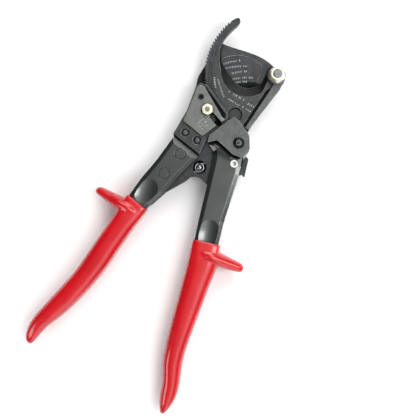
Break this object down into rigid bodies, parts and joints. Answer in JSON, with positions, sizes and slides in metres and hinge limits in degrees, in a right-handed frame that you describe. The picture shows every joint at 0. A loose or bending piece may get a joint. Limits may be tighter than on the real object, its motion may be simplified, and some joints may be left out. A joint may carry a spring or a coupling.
{
  "type": "ratcheting cable cutter",
  "caption": "Hand-held ratcheting cutter: a toothed curved blade closes past a hooked fixed jaw when two red-gripped handles are squeezed in strokes.",
  "frame": {"origin": "on the blade pivot's axis, at the bottom face of the pivot bolt's head, which is the plane that the tool rests on", "axes": "+Y along the tool from the grips to the head, +Z out of the front face, along every pivot axis, +X towards the moving handle's side"},
  "size_m": [0.1145, 0.2631, 0.0256],
  "materials": {
    "blade_steel": "dark phosphated tool steel with ground edges",
    "jaw_steel": "dark phosphated tool steel, grainy",
    "black_steel": "black oxide",
    "cover_steel": "smooth grey steel sheet with bright edges",
    "sandblasted_steel": "light grey, sand-blasted",
    "bright_steel": "bright turned steel",
    "zinc_steel": "bright zinc plate",
    "yellow_zinc": "yellow-passivated zinc plate",
    "spring_steel": "oiled spring wire",
    "black_enamel": "semi-gloss black paint",
    "red_vinyl": "glossy red dipped vinyl"
  },
  "bodies": {
    "frame": {"fixed_jaw_frame": "jaw_steel", "back_plate": "black_steel", "pawl_cover": "cover_steel", "spine_bar": "sandblasted_steel", "frame_spacer": "black_steel", "tail_plate": "black_steel", "fulcrum_bush": "bright_steel", "jaw_rivet": "black_steel", "pivot_bolt": "zinc_steel", "pivot_washers": "zinc_steel", "pivot_nut": "yellow_zinc", "housing_rivets": "black_steel", "handle_rivets": "black_enamel", "holding_pawl_pin": "black_steel", "fulcrum_pin": "bright_steel", "spring_post": "zinc_steel", "handle_spring": "spring_steel", "holding_spring": "spring_steel", "fixed_handle": "black_enamel", "fixed_grip": "red_vinyl"},
    "blade": {"moving_blade": "blade_steel"},
    "holding_pawl": {"holding_pawl": "black_steel", "release_screw": "bright_steel", "release_nut": "yellow_zinc"},
    "drive_pawl": {"drive_pawl": "black_steel", "release_lever": "black_steel"},
    "moving_handle": {"moving_handle": "black_enamel", "moving_grip": "red_vinyl", "front_cheek": "sandblasted_steel", "back_cheek": "sandblasted_steel", "drive_pawl_pin": "blade_steel"}
  },
  "joints": [
    {"name": "handle_squeeze", "type": "hinge", "parent": "frame", "child": "moving_handle", "pos_m": [0.0019, -0.0665, 0.0111], "axis": [0, 0, -1], "range_deg": [0, 24], "stiffness_Nm_per_rad": 0.6, "springref_deg": -11.46},
    {"name": "blade_swing", "type": "hinge", "parent": "frame", "child": "blade", "pos_m": [0, 0, 0.0093], "axis": [0, 0, 1], "range_deg": [-121, 8.25]},
    {"name": "holding_pawl_release", "type": "hinge", "parent": "frame", "child": "holding_pawl", "pos_m": [-0.0386, -0.03676, 0.0111], "axis": [0, 0, -1], "range_deg": [0, 8]},
    {"name": "drive_pawl_swing", "type": "hinge", "parent": "moving_handle", "child": "drive_pawl", "pos_m": [-0.0017, -0.0526, 0.0111], "axis": [0, 0, 1], "range_deg": [0, 30.4]}
  ],
  "couplings": [
    {"joint": "drive_pawl_swing", "follows": "handle_squeeze", "ratio": 1.267}
  ]
}
